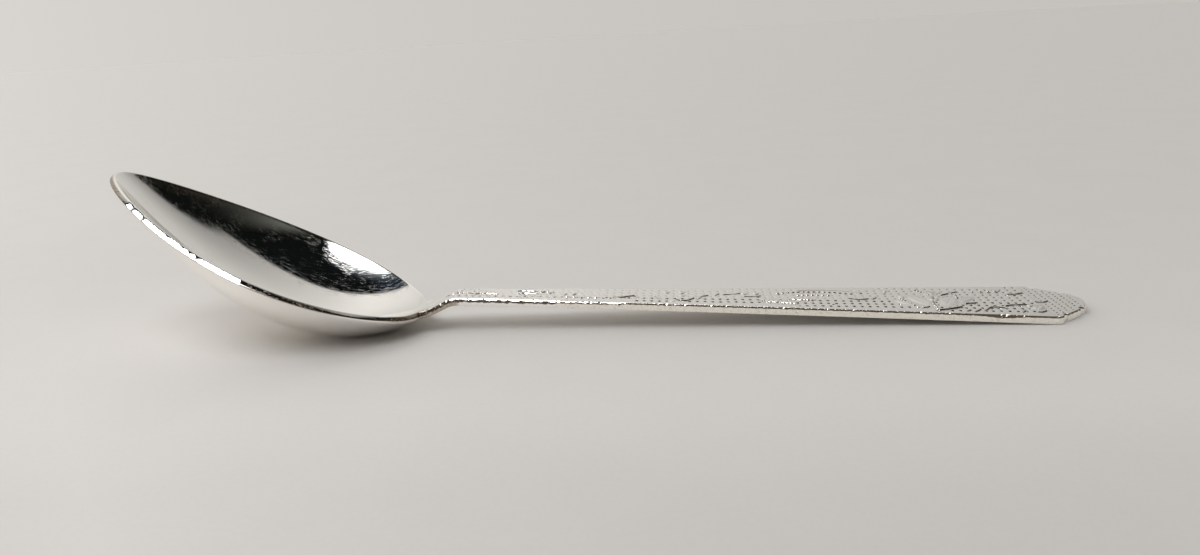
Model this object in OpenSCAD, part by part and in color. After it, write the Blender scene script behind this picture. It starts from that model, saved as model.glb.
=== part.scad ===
// Teaspoon pressed from one strip of silver: an egg-shaped bowl, a cranked neck and a flat handle
// that widens to a scalloped end, with a raised floral ornament on its upper face.
// The spoon lies along X, bowl tip at -X and handle end at +X. It stands on z = 0 on the lowest
// place of its bowl and on the level end of its handle.

/* [Overall] */
// Length from the bowl's tip to the end of the handle
spoon_length = 135; // [120:1:150]

/* [Bowl] */
// Length of the bowl from the inner edge of its tip to its heel
bowl_length = 42; // [38:0.5:48]
// Widest part of the bowl between the inner edges of its rim
bowl_width = 25.6; // [22:0.2:30]
// Depth of the bowl under its rim line
bowl_depth = 8.6; // [6:0.1:10]
// Height of the rim at the tip above the rim at the heel
tip_rise = 22.1; // [14:0.1:26]
// How far the rim hangs below a straight line from tip to heel
rim_sag = 1.45; // [0:0.05:3]
// Thickness of the metal in the bowl
bowl_gauge = 0.95; // [0.7:0.05:1.3]
// How far the widest place lies towards the heel
bowl_skew_share = 0.34; // [0:0.02:0.5]
// How quickly the outline draws in towards both ends
bowl_taper_share = 0.68; // [0:0.02:1]
// Power of the curve across the bowl, where 2 is a parabola
bowl_section_power = 2.4; // [2:0.1:3]

/* [Neck] */
// Width of the neck, the narrowest place of the handle
neck_width = 5.3; // [4:0.1:8]
// Length of the crank that rises from the heel to the handle
neck_length = 7.5; // [6:0.1:10]
// How far the crank starts before the heel
neck_lap = 2; // [1:0.1:3]

/* [Handle] */
// Width across the shoulders of the handle's end
handle_width = 13.7; // [10:0.1:17]
// Thickness of the handle under its ornament
handle_gauge = 1.1; // [0.8:0.05:1.6]
// Height of the handle's back above the table at the neck
handle_lift = 4.1; // [2:0.1:7]
// Power of the flare, where 1 gives straight sides
flare_power = 1.32; // [1:0.02:1.8]

/* [Handle end] */
// Length of the level end that rests on the table
end_length = 5.8; // [5:0.1:8]
// Radius of the shoulder corners
shoulder_r = 0.8; // [0.4:0.1:1.2]
// Radius of the scallops in the slanted sides
scallop_r = 0.45; // [0.3:0.05:0.6]
// Width of the rounded tongue between the inner scallops
tongue_width = 7.2; // [6:0.1:8]
// How far the tongue stands out past the inner scallops
tongue_rise = 1.5; // [1:0.1:2]

/* [Ornament] */
// Height of the ornament above the handle's face
relief_height = 0.18; // [0.1:0.02:0.3]
// Width of the vine's stalk
vine_width = 0.5; // [0.3:0.05:0.8]
// Length of one petal
petal_length = 3.8; // [2.5:0.1:4.2]
// Width of one petal
petal_width = 2.6; // [1.5:0.1:2.8]
// Width of the button in the middle of the flower
button_width = 1.6; // [1.2:0.1:2]
// Length of a leaf
leaf_length = 5.6; // [4:0.1:7]
// Width of a leaf
leaf_width = 1.9; // [1:0.1:2.5]
// Width of one berry
berry_width = 0.9; // [0.6:0.05:1.2]
// Number of petals
petal_count = 5; // [4:1:7]
// Number of leaves along the vine
leaf_count = 6; // [2:1:7]

/* [Hidden] */
silver = [0.86, 0.86, 0.84];
bright = [0.93, 0.93, 0.91];
$fn = 48;

// Steps of the curved surfaces
bowl_steps = 46;
neck_steps = 12;
across_steps = 22;
flare_steps = 20;
corner_steps = 6;
tongue_steps = 18;
vine_steps = 60;

// The underside stands out past the rim's inner edge, so the tip is drawn in by that much
tip_slope = (tip_rise + 4 * rim_sag + 4 * bowl_depth) / bowl_length;
tip_overhang = bowl_gauge * tip_slope / norm([1, tip_slope]);

// Places along the spoon
tip_x = tip_overhang - spoon_length / 2;
end_x = spoon_length / 2;
heel_x = tip_x + bowl_length;
crank_start = heel_x - neck_lap;
crank_end = crank_start + neck_length;
shoulder_x = end_x - end_length;
stem_length = shoulder_x - crank_end;
stem_tilt = atan(handle_lift / stem_length);
face_length = norm([stem_length, handle_lift]);

// Half widths
neck_half = neck_width / 2;
shoulder_half = handle_width / 2;
tongue_half = tongue_width / 2;

// Softening of the creases where bowl and neck run into each other
heel_fillet = 0.6;
join_power = 5;
join_share = 0.22;
probe = 0.01;
overrun = 1;

// Places of the ornament along the handle, counted from the neck, and across it
flower_share = 0.83;
flower_turn = 36;
// The petals grow out of the button, from this far off its middle
petal_root = button_width / 4;
vine_start_share = 0.02;
vine_swing_share = 0.3;
vine_waves = 3;
leaf_angle = 24;
berry_gap_share = 0.75;
berry_shares = [0.36, 0.52, 0.68];

function unit(v) = v / norm(v);
function ease(s) = let (c = min(max(s, 0), 1)) c * c * (3 - 2 * c);
function bowl_share(x) = (x - tip_x) / bowl_length;
function crank(x) = ease((x - crank_start) / neck_length);

// Outline of the bowl: a circle's half width, drawn in and skewed, with its widest place scaled to 1
function egg_shape(u) = let (s = min(max(u, 0), 1), m = s - 0.5)
    2 * sqrt(s * (1 - s)) * (1 + bowl_skew_share * m - bowl_taper_share * m * m);
egg_peak = max([for (i = [0:bowl_steps]) egg_shape(i / bowl_steps)]);
function bowl_half(x) = bowl_width / 2 * egg_shape(bowl_share(x)) / egg_peak;

// Outline of the handle, and of both together with a rounded inner corner at the heel
function flare_half(x) = let (s = max(0, x - crank_end) / stem_length)
    neck_half + (shoulder_half - neck_half) * pow(s, flare_power);
function half_width(x) = let (fade = ease((x - heel_x) / (join_share * bowl_length) + 1))
    pow(pow(bowl_half(x), join_power) + pow(flare_half(x) * fade, join_power), 1 / join_power);

// Heights over the heel's rim: the rim line, and the depth of the bowl under it
function rim_z(x) = let (u = bowl_share(x)) tip_rise * (1 - u) - 4 * rim_sag * u * (1 - u);
function depth(x) = let (u = bowl_share(x), d = 4 * bowl_depth * u * (1 - u), k = heel_fillet * min(u, 1))
    (d + sqrt(d * d + k * k)) / 2;
function dish(x, t) = depth(x) * (1 - pow(abs(t), bowl_section_power));
function back_z(x) = handle_lift * (shoulder_x - x) / stem_length;
function face_z(x, t, heel_z) = let (s = crank(x))
    (1 - s) * (heel_z + rim_z(x)) + s * (back_z(x) + handle_gauge) - dish(x, t);

// One place on the upper face, t across from -1 to 1, and the metal's direction and thickness there
function face_point(x, t, heel_z) = [x, half_width(x) * t, face_z(x, t, heel_z)];
function face_normal(x, t, heel_z) =
    let (a = max(x, tip_x + probe), s = min(max(t, probe - 1), 1 - probe))
    let (along = face_point(a + probe, s, heel_z) - face_point(a - probe / 2, s, heel_z))
    let (across = face_point(a, s + probe, heel_z) - face_point(a, s - probe, heel_z))
    unit(unit(cross(along, across)) * (1 - crank(x)) + [0, 0, 1] * crank(x));
function gauge(x) = bowl_gauge + (handle_gauge - bowl_gauge) * crank(x);
function under_point(x, t, heel_z) = face_point(x, t, heel_z) - gauge(x) * face_normal(x, t, heel_z);

// The heel's rim stands so high that the lowest place of the bowl just touches the table
heel_z = -min([for (i = [1:bowl_steps]) under_point(bowl_x(i / bowl_steps), 0, 0)[2]]);

// Stations: closer together at the tip, and closer together towards the rim
function bowl_x(s) = tip_x + (crank_start - tip_x) * (1 - cos(90 * s));
function neck_x(s) = crank_start + neck_length * s;
function across_t(j) = sin(90 * (2 * j / across_steps - 1));

// A row of points over the upper face from one edge to the other, and back under it
function ring(x) = concat(
    [for (j = [0:across_steps]) face_point(x, across_t(j), heel_z)],
    [for (j = [across_steps:-1:0]) under_point(x, across_t(j), heel_z)]);
ring_size = 2 * (across_steps + 1);

// Walls between rings that start at point number first, and the closing strip of one ring
function walls(first, rings) = [for (i = [0:rings - 2], j = [0:ring_size - 1])
    let (a = first + i * ring_size, n = (j + 1) % ring_size)
    each [[a + j, a + ring_size + j, a + ring_size + n], [a + j, a + ring_size + n, a + n]]];
function strip(first) = [for (j = [0:across_steps - 1]) let (k = ring_size - 1 - j)
    each [[first + j, first + j + 1, first + k], [first + j + 1, first + k - 1, first + k]]];
function flip(faces) = [for (f = faces) [f[2], f[1], f[0]]];

module bowl() {
    tips = [face_point(tip_x, 0, heel_z), under_point(tip_x, 0, heel_z)];
    rings = [for (i = [1:bowl_steps]) each ring(bowl_x(i / bowl_steps))];
    // The tip is a fan over the upper face, a fan under it, and two triangles at the edges
    last = len(tips) + ring_size - 1;
    fan = concat(
        [for (j = [0:across_steps - 1]) [0, 2 + j, 3 + j]],
        [for (j = [0:across_steps - 1]) [1, 3 + across_steps + j, 4 + across_steps + j]],
        [[0, 2 + across_steps, 1], [1, 2 + across_steps, 3 + across_steps], [0, 1, last], [0, last, 2]]);
    color(bright)
        polyhedron(points = concat(tips, rings),
            faces = flip(concat(fan, walls(len(tips), bowl_steps),
                flip(strip(len(tips) + (bowl_steps - 1) * ring_size)))));
}

module neck() {
    rings = [for (i = [0:neck_steps]) each ring(neck_x(i / neck_steps))];
    color(silver)
        polyhedron(points = rings,
            faces = flip(concat(strip(0), walls(0, neck_steps + 1), flip(strip(neck_steps * ring_size)))));
}

// Plan of the handle between the neck and the shoulders
function flare_side(side) = [for (i = [0:flare_steps])
    let (x = crank_end + stem_length * i / flare_steps) [x, side * flare_half(x)]];
function reversed(points) = [for (i = [len(points) - 1:-1:0]) points[i]];

module stem_plan() {
    polygon(concat(flare_side(-1), reversed(flare_side(1))));
}

module stem() {
    color(silver)
        intersection() {
            translate([0, handle_width, 0])
                rotate([90, 0, 0])
                    linear_extrude(2 * handle_width)
                        polygon([[crank_end, handle_lift], [shoulder_x, 0],
                            [shoulder_x, handle_gauge], [crank_end, handle_lift + handle_gauge]]);
            translate([0, 0, -overrun])
                linear_extrude(handle_lift + handle_gauge + 2 * overrun) stem_plan();
        }
}

// Plan of the handle's end: a round corner, a slanted side and a rounded tongue
function arc(centre, r, from, to, steps) = [for (i = [0:steps])
    let (a = from + (to - from) * i / steps) centre + r * [cos(a), sin(a)]];
shoulder_centre = [shoulder_x, shoulder_half - shoulder_r];
tongue_corner = [end_x - tongue_rise, tongue_half];
slant_run = tongue_corner - shoulder_centre;
slant_normal = atan2(slant_run[1], slant_run[0]) + acos(shoulder_r / norm(slant_run));
slant_start = shoulder_centre + shoulder_r * [cos(slant_normal), sin(slant_normal)];
tongue_r = (tongue_half * tongue_half + tongue_rise * tongue_rise) / (2 * tongue_rise);
tongue_angle = asin(tongue_half / tongue_r);
outer_scallop = slant_start + unit(tongue_corner - slant_start) * 2 * scallop_r;

function end_side() = concat(
    arc(shoulder_centre, shoulder_r, 90, slant_normal, corner_steps),
    arc([end_x - tongue_r, 0], tongue_r, tongue_angle, 0, tongue_steps / 2));
function mirrored(points) = [for (p = points) [p[0], -p[1]]];

module handle_end() {
    color(bright)
        difference() {
            linear_extrude(handle_gauge)
                polygon(concat(end_side(), reversed(mirrored(end_side()))));
            for (side = [-1, 1], place = [outer_scallop, tongue_corner])
                translate([place[0], side * place[1], -overrun])
                    cylinder(r = scallop_r, h = handle_gauge + 2 * overrun);
        }
}

// Everything on the sloping face is drawn flat, with x along the face from the neck, then raised
module on_face() {
    translate([crank_end, 0, handle_lift + handle_gauge])
        rotate([0, stem_tilt, 0])
            linear_extrude(relief_height)
                intersection() {
                    children();
                    translate([-crank_end, 0]) stem_plan();
                }
}

function plan_half(s) = flare_half(crank_end + stem_length * s);
flower_at = [flower_share * face_length, 0];

// A leaf with two pointed ends, its root at the origin and its tip along X
module blade(length, width) {
    r = (length * length + width * width) / (4 * width);
    intersection() {
        translate([length / 2, r - width / 2]) circle(r = r);
        translate([length / 2, width / 2 - r]) circle(r = r);
    }
}

// The vine swings from side to side up to the foot of the flower
vine_end = flower_at[0] - button_width / 2;
vine_start = vine_start_share * face_length;
function vine_x(s) = vine_start + (vine_end - vine_start) * s;
function vine_point(s) = [vine_x(s), vine_swing_share * plan_half(vine_x(s) / face_length) * sin(360 * vine_waves * s)];
function vine_heading(s) = let (d = vine_point(s + probe) - vine_point(s - probe)) atan2(d[1], d[0]);
function vine_side(side) = [for (i = [0:vine_steps]) let (s = i / vine_steps, a = vine_heading(s) + 90)
    vine_point(s) + side * vine_width / 2 * [cos(a), sin(a)]];

module leaf_plan() {
    for (k = [0:leaf_count - 1]) {
        s = (k + 0.5) / leaf_count;
        side = k % 2 == 0 ? 1 : -1;
        translate(vine_point(s))
            rotate(vine_heading(s) + side * leaf_angle)
                blade(leaf_length, leaf_width);
    }
}

module flower_plan() {
    translate(flower_at) {
        circle(d = button_width);
        for (k = [0:petal_count - 1])
            rotate(flower_turn + 360 * k / petal_count)
                translate([petal_root, 0]) blade(petal_length, petal_width);
    }
}

module leaves() {
    color(bright)
        on_face()
            difference() {
                leaf_plan();
                flower_plan();
            }
}

module vine() {
    color(silver)
        on_face()
            difference() {
                polygon(concat(vine_side(-1), reversed(vine_side(1))));
                leaf_plan();
                flower_plan();
            }
}

module flower() {
    color(bright) on_face() flower_plan();
}

module berries() {
    color(bright)
        on_face()
            difference() {
                for (s = berry_shares, side = [-1, 1])
                    translate([s * face_length, side * berry_gap_share * plan_half(s)]) circle(d = berry_width);
                leaf_plan();
                flower_plan();
            }
}

bowl();
neck();
stem();
handle_end();
vine();
leaves();
flower();
berries();
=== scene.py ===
"""A polished silver teaspoon: its skin with the pressed pattern, its finish, and the stage round it.

Every place and size below is in metres, unless its name ends in MM, in which case it is in millimetres.
"""

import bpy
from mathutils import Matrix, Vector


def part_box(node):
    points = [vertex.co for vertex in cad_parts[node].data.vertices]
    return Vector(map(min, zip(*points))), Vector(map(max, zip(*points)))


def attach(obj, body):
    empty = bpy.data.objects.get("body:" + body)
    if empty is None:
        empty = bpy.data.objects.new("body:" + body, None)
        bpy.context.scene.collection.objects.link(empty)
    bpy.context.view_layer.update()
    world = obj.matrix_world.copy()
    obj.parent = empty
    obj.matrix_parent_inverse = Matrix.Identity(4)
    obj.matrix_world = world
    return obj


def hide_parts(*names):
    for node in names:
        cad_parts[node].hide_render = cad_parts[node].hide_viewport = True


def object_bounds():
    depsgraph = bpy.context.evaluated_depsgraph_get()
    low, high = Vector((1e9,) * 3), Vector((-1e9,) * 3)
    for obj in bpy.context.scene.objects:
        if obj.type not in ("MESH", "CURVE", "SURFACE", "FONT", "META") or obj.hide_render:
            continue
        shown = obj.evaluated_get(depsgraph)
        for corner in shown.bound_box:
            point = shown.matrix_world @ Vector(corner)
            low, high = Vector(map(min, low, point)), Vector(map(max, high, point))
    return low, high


bl_info = {
    "name": "Silver teaspoon",
    "version": (1, 0, 0),
    "blender": (4, 5, 0),
    "location": "3D View > Sidebar > Teaspoon",
    "description": "Builds the skin, finish, floor, room, lamps and camera of a silver teaspoon",
    "category": "Add Mesh",
}

import math

import bpy
import numpy as np
from bpy.props import FloatProperty, FloatVectorProperty, IntProperty, PointerProperty
from bpy.types import Operator, Panel, PropertyGroup
from mathutils import Matrix, Vector

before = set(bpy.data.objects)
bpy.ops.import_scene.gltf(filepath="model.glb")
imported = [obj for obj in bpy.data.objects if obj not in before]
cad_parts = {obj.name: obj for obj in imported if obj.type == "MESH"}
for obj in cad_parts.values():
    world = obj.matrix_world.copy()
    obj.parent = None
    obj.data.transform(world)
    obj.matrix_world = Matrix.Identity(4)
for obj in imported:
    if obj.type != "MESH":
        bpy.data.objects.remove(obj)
CAD_BOX = [list(corner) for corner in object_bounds()]

MM = 0.001
BODY = "root"

# How wide the camera's image is in pixels, and its sensor in millimetres
IMAGE_WIDTH = 1200
SENSOR_WIDTH_MM = 36.0


def node_size(node, axis):
    """Extent of a solid of the frame along one axis."""
    low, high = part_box(node)
    return high[axis] - low[axis]


def metres(label, about, default, low=0.0, high=0.3):
    return FloatProperty(
        name=label, description=about, default=default, min=low, max=high, unit="LENGTH", precision=5
    )


def degrees(label, about, default):
    return FloatProperty(name=label, description=about, default=math.radians(default), subtype="ANGLE")


def number(label, about, default, low=0.0, high=10.0):
    return FloatProperty(name=label, description=about, default=default, min=low, max=high)


def whole(label, about, default, low):
    return IntProperty(name=label, description=about, default=default, min=low)


def tint(label, about, default):
    return FloatVectorProperty(
        name=label, description=about, default=default, size=3, min=0.0, max=1.0, subtype="COLOR"
    )


class BowlSizes(PropertyGroup):
    length: metres("Bowl length", "From the inner edge of the tip to the heel", 0.042)
    width: metres("Bowl width", "Between the inner edges of the rim", 0.0256)
    depth: metres("Bowl depth", "Depth under the rim line", 0.0086)
    tip_rise: metres("Tip rise", "Height of the tip's rim above the heel's rim", 0.0221)
    rim_sag: metres("Rim sag", "How far the rim hangs below a straight line", 0.00145)
    gauge: metres("Bowl gauge", "Thickness of the metal in the bowl", 0.00095)
    skew: number("Skew", "How far the widest place lies towards the heel", 0.34)
    taper: number("Taper", "How quickly the outline draws in at both ends", 0.68)
    section_power: number("Section power", "Curve across the bowl, 2 is a parabola", 2.4)
    heel_fillet: metres("Heel fillet", "Softening where the bowl runs into the neck", 0.001)
    lean: degrees("Rim lean", "How far the rim's worn flat leans outwards", 14.5)
    flat_start: metres("Flat start", "Where the near rim's worn flat starts, from the tip", 0.0052)
    flat_end: metres("Flat end", "Where the near rim's worn flat ends, from the tip", 0.0221)


class NeckSizes(PropertyGroup):
    width: metres("Neck width", "Width of the narrowest place", node_size("stem", 1) * 0.387)
    length: metres("Neck length", "Length of the crank from heel to handle", 0.0075)
    lap: metres("Neck lap", "How far the crank starts before the heel", 0.002)
    join_power: number("Join power", "Sharpness of the inner corner at the heel", 5.0)
    join_share: number("Join share", "Share of the bowl over which the neck fades in", 0.22)


class HandleSizes(PropertyGroup):
    width: metres("Handle width", "Width across the shoulders", node_size("handle_end", 1))
    gauge: metres("Handle gauge", "Thickness of the handle", node_size("handle_end", 2))
    lift: metres(
        "Handle lift",
        "Height of the handle's back at the neck",
        node_size("stem", 2) - node_size("handle_end", 2),
    )
    flare_power: number("Flare power", "Curve of the flare, 1 is straight", 1.32)
    shoulder_radius: metres("Shoulder radius", "Radius of the shoulder corners", 0.0008)
    scallop_radius: metres("Scallop radius", "Radius of the scallops", 0.00045)
    tongue_width: metres("Tongue width", "Width of the tongue at the end", 0.0072)
    tongue_rise: metres("Tongue rise", "How far the tongue stands out", 0.0015)
    chamfer_neck: metres("Facet width", "Width of the worn facet next to the neck", 0.00047)
    chamfer_end: metres("Edge rounding", "Width of the rounded edge further on", 0.00027)
    facet_length: metres("Facet length", "Length of the worn facet next to the neck", 0.0143)
    worn_length: metres("Worn length", "Length of the broken facet after it", 0.0098)
    facet_tilt: degrees("Facet tilt", "Height angle that the worn facet faces", 37)
    edge_tilt: degrees("Edge tilt", "Height angle that the rounded edge faces", 21)


class OrnamentSizes(PropertyGroup):
    relief: metres("Relief height", "Height of leaves and petals above the ground", 0.00015)
    edge: metres("Edge width", "Width of the steep edge of leaves and petals", 0.00011)
    dot_pitch: metres("Dot pitch", "Distance of the punched dots along the handle", 0.00106)
    dot_row: metres("Dot row", "Distance of the rows of dots", 0.0012)
    dot_radius: metres("Dot radius", "Radius of one punched dot", 0.00036)
    dot_depth: metres("Dot depth", "Depth of one punched dot", 0.00022)
    end_pitch: metres("End dot pitch", "Distance of the small dots at the end", 0.00085)


class SkinSteps(PropertyGroup):
    bowl_rows: whole("Bowl rows", "Rows around the bowl", 760, 60)
    neck_rows: whole("Neck rows", "Rows along the neck", 64, 16)
    stem_rows: whole("Stem rows", "Rows along one length of the stem", 262, 60)
    end_rows: whole("End rows", "Rows around the end", 340, 60)
    bowl_top: whole("Bowl steps", "Steps from the bowl's middle to its edge", 84, 20)
    top: whole("Top steps", "Steps from the middle to the edge", 152, 20)
    corner: whole("Corner steps", "Steps around one corner", 5, 2)
    back: whole("Back steps", "Steps under the metal", 16, 6)


class SilverLook(PropertyGroup):
    bright: tint("Silver", "Colour of clean silver", (0.98, 0.965, 0.93))
    edge: tint("Edge", "Colour of the silver at its edges", (1.0, 0.965, 0.885))
    # Colour of tarnish, and of the painted dark reflection on the outside of the tip
    tarnish: tint("Tarnish", "Colour of silver in the hollows", (0.42, 0.36, 0.29))
    roughness: number("Roughness", "Roughness of the polished metal", 0.05, 0.0, 1.0)
    worn: number("Worn roughness", "Roughness where the metal is scratched", 0.24, 0.0, 1.0)


class StageLook(PropertyGroup):
    floor: tint("Floor", "Colour of the floor", (0.570, 0.552, 0.534))
    floor_radius: metres("Floor radius", "Radius of the floor", 3.0, 0.5, 10.0)
    sky: tint("Backdrop", "Colour of the pale half of the room", (0.66, 0.645, 0.62))
    dark: tint("Dark", "Colour of the dark half of the room", (0.004, 0.005, 0.005))
    window: number("Window", "Strength of the window", 6.0, 0.0, 100.0)
    ambient: number("Ambient", "Light that a matt surface gets from all sides", 0.05)
    from_behind: number("From behind", "More light that it gets from behind", 0.75)
    from_left: number("From the left", "More light that it gets from the left", 1.22)
    front_lamp: number("Front lamp", "Strength of the soft lamp in front", 1.31, 0.0, 100.0)
    left_lamp: number("Left lamp", "Strength of the soft lamp on the left", 0.59, 0.0, 100.0)
    lamp_spread: degrees("Lamp spread", "Angle over which a lamp spreads", 36)
    lamp_tilt: degrees("Lamp tilt", "How far the lamps stand from straight overhead", 28)
    focal: number("Focal length in pixels", "Focal length over one pixel", 884.57, 100, 5000)
    yaw: degrees("Yaw", "Camera turn", -5.0)
    pitch: degrees("Pitch", "Camera tilt down", 16.084)
    roll: degrees("Roll", "Camera roll", -3.478)
    camera_at: FloatVectorProperty(
        name="Camera place",
        description="Where the camera stands",
        default=(0.0117, -0.1202, 0.04154),
        size=3,
        subtype="XYZ",
        unit="LENGTH",
    )


# Small lengths that only the calculation needs
PROBE = 0.00001
WELD = 1e-8

# A little blue in the lamps
LAMP_TINT = (0.98, 1.0, 1.03)


def ease(share):
    """Smooth step: three times the square less twice the cube of a share held between 0 and 1."""
    s = np.clip(share, 0, 1)
    return s * s * (3 - 2 * s)


def unit(vectors):
    """Each vector over its own length."""
    return vectors / np.maximum(np.linalg.norm(vectors, axis=-1, keepdims=True), 1e-15)


def ripple(place, wavelength, phase):
    """A smooth uneven line between -1 and 1: the mean of three sines of unrelated lengths."""
    turn = 2 * math.pi * place / wavelength
    waves = np.sin(turn + phase) + np.sin(1.73 * turn + 2.1 * phase) + np.sin(2.91 * turn + 3.7 * phase)
    return waves / 3


class SpoonForm:
    """The spoon's shape: its outline, heights and thickness at a place x along it and a share t across it."""

    def __init__(self, scene):
        self.bowl = scene.teaspoon_bowl
        self.neck = scene.teaspoon_neck
        self.handle = scene.teaspoon_handle
        self.end_x = CAD_BOX[1][0]
        self.shoulder_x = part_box("handle_end")[0][0]
        self.crank_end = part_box("stem")[0][0]
        self.crank_start = self.crank_end - self.neck.length
        self.heel_x = self.crank_start + self.neck.lap
        self.tip_x = self.heel_x - self.bowl.length
        self.stem_length = self.shoulder_x - self.crank_end
        shares = np.linspace(0, 1, 200)
        self.egg_peak = self.egg(shares).max()
        self.heel_z = 0.0
        places = self.tip_x + (self.crank_start - self.tip_x) * shares[1:]
        self.heel_z = -self.under(places, np.zeros_like(places))[:, 2].min()

    def egg(self, share):
        """Twice the root of u (1 - u), times 1 + skew m - taper m squared, where m is u less a half."""
        s = np.clip(share, 0, 1)
        m = s - 0.5
        return 2 * np.sqrt(s * (1 - s)) * (1 + self.bowl.skew * m - self.bowl.taper * m * m)

    def share(self, x):
        return (x - self.tip_x) / self.bowl.length

    def crank(self, x):
        """0 in the bowl and 1 on the handle, with a smooth step over the neck."""
        return ease((x - self.crank_start) / self.neck.length)

    def flare(self, x):
        """Half width of the handle: a power of the share of the way to the shoulders."""
        s = np.clip(x - self.crank_end, 0, None) / self.stem_length
        half = self.neck.width / 2
        return half + (self.handle.width / 2 - half) * s**self.handle.flare_power

    def half(self, x):
        """Half width of the spoon: the power mean of the bowl's outline and the handle's."""
        fade = ease((x - self.heel_x) / (self.neck.join_share * self.bowl.length) + 1)
        bowl_half = self.bowl.width / 2 * self.egg(self.share(x)) / self.egg_peak
        power = self.neck.join_power
        return (bowl_half**power + (self.flare(x) * fade) ** power) ** (1 / power)

    def depth(self, x):
        """A parabola along the bowl, softened into the flat neck by a hyperbola."""
        u = self.share(x)
        d = 4 * self.bowl.depth * u * (1 - u)
        k = self.bowl.heel_fillet * np.minimum(u, 1)
        return (d + np.sqrt(d * d + k * k)) / 2

    def back(self, x):
        """Height of the handle's back: it slopes down to the shoulders and lies level beyond."""
        slope = self.handle.lift / self.stem_length
        rise = (self.shoulder_x - x) * slope
        soft = 0.00004
        return (rise + np.sqrt(rise * rise + soft * soft)) / 2

    def rim(self, x):
        """A straight line from tip to heel, less a parabola of the rim's sag."""
        u = self.share(x)
        return self.bowl.tip_rise * (1 - u) - 4 * self.bowl.rim_sag * u * (1 - u)

    def face(self, x, t):
        """Height of the upper face: the rim or the handle's face, less the bowl's depth."""
        s = self.crank(x)
        dish = self.depth(x) * (1 - np.abs(t) ** self.bowl.section_power)
        return (1 - s) * (self.heel_z + self.rim(x)) + s * (self.back(x) + self.handle.gauge) - dish

    def point(self, x, t):
        return np.stack([x, self.half(x) * t, self.face(x, t)], -1)

    def normal(self, x, t):
        """Cross product of the two directions of the face, turned upright over the neck."""
        a = np.maximum(x, self.tip_x + PROBE)
        s = np.clip(t, -0.99, 0.99)
        step = 0.01
        along = self.point(a + PROBE, s) - self.point(a - PROBE / 2, s)
        across = self.point(a, s + step) - self.point(a, s - step)
        c = self.crank(a)[..., None]
        return unit(unit(np.cross(along, across)) * (1 - c) + np.array([0.0, 0.0, 1.0]) * c)

    def gauge(self, x):
        return self.bowl.gauge + (self.handle.gauge - self.bowl.gauge) * self.crank(x)

    def under(self, x, t):
        return self.point(x, t) - self.gauge(x)[..., None] * self.normal(x, t)


# The outline as rows: each row has a place on the edge and a place on the middle line


def bowl_rows(form, count):
    """Edge and middle of rows around the bowl, near side first, then the tip, then the far side.

    A row at turn q from -1 to 1 meets the edge at 1 - cos(q quarter turns) of the way from the tip,
    so that rows crowd at the tip, and the middle line at a place that runs from the deepest place to
    the neck.
    """
    step = 2 / (count - 1)
    turn = np.linspace(-1 - step, 1 + step, count + 2)
    run = 1 - np.cos(turn * math.pi / 2)
    x = form.tip_x + (form.crank_start - form.tip_x) * run
    edge = np.stack([x, np.sign(turn) * form.half(x)], -1)
    deepest = form.tip_x + 0.42 * form.bowl.length
    return edge, deepest + (form.crank_start - deepest) * run


def straight_rows(form, start, end, count, side):
    """Edge and middle of square rows from x = start to x = end on one side."""
    step = (end - start) / (count - 1)
    x = start - step + step * np.arange(count + 2)
    return np.stack([x, side * form.half(x)], -1), x


def arc(centre, radius, start, end, count):
    """Points on a circle from one angle to another."""
    a = np.linspace(start, end, count)
    return np.stack([centre[0] + radius * np.cos(a), centre[1] + radius * np.sin(a)], -1)


def end_outline(form):
    """Far half of the end's outline: corner arc, slanted side with a scallop, scallop, tongue arc."""
    h = form.handle
    corner = np.array([form.shoulder_x, h.width / 2 - h.shoulder_radius])
    tongue = np.array([form.end_x - h.tongue_rise, h.tongue_width / 2])
    run = tongue - corner
    start_angle = math.atan2(run[1], run[0]) + math.acos(h.shoulder_radius / np.hypot(*run))
    slant = corner + h.shoulder_radius * np.array([math.cos(start_angle), math.sin(start_angle)])
    way = unit(tongue - slant)
    heading = math.atan2(way[1], way[0])
    r = h.scallop_radius
    outer = slant + way * 2 * r
    half = h.tongue_width / 2
    tongue_r = (half * half + h.tongue_rise**2) / (2 * h.tongue_rise)
    tongue_centre = np.array([form.end_x - tongue_r, 0.0])
    bite = 2 * math.asin(r / (2 * tongue_r))
    reach = math.asin(half / tongue_r) - bite
    last = tongue_centre + tongue_r * np.array([math.cos(reach), math.sin(reach)]) - tongue
    return np.concatenate(
        [
            arc(corner, h.shoulder_radius, math.pi / 2, start_angle, 12),
            arc(outer, r, heading - math.pi, heading, 16),
            arc(tongue, r, heading - math.pi, math.atan2(last[1], last[0]), 12),
            arc(tongue_centre, tongue_r, reach, 0, 24),
        ]
    )


def resample(points, count, blur):
    """Points at even distances along a line of points, after a running mean as wide as blur."""
    steps = 1200
    length = np.concatenate([[0], np.cumsum(np.linalg.norm(np.diff(points, axis=0), axis=1))])
    fine = np.linspace(0, length[-1], steps)
    line = np.stack([np.interp(fine, length, points[:, k]) for k in (0, 1)], -1)
    reach = max(1, int(blur / (length[-1] / steps)))
    weights = np.hanning(2 * reach + 3)
    weights /= weights.sum()
    padded = np.concatenate(
        [2 * line[0] - line[reach + 1 : 0 : -1], line, 2 * line[-1] - line[-2 : -reach - 3 : -1]]
    )
    smooth = np.stack([np.convolve(padded[:, k], weights, "valid") for k in (0, 1)], -1)
    even, places = np.linspace(0, 1, count), np.linspace(0, 1, len(smooth))
    return np.stack([np.interp(even, places, smooth[:, k]) for k in (0, 1)], -1)


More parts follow.
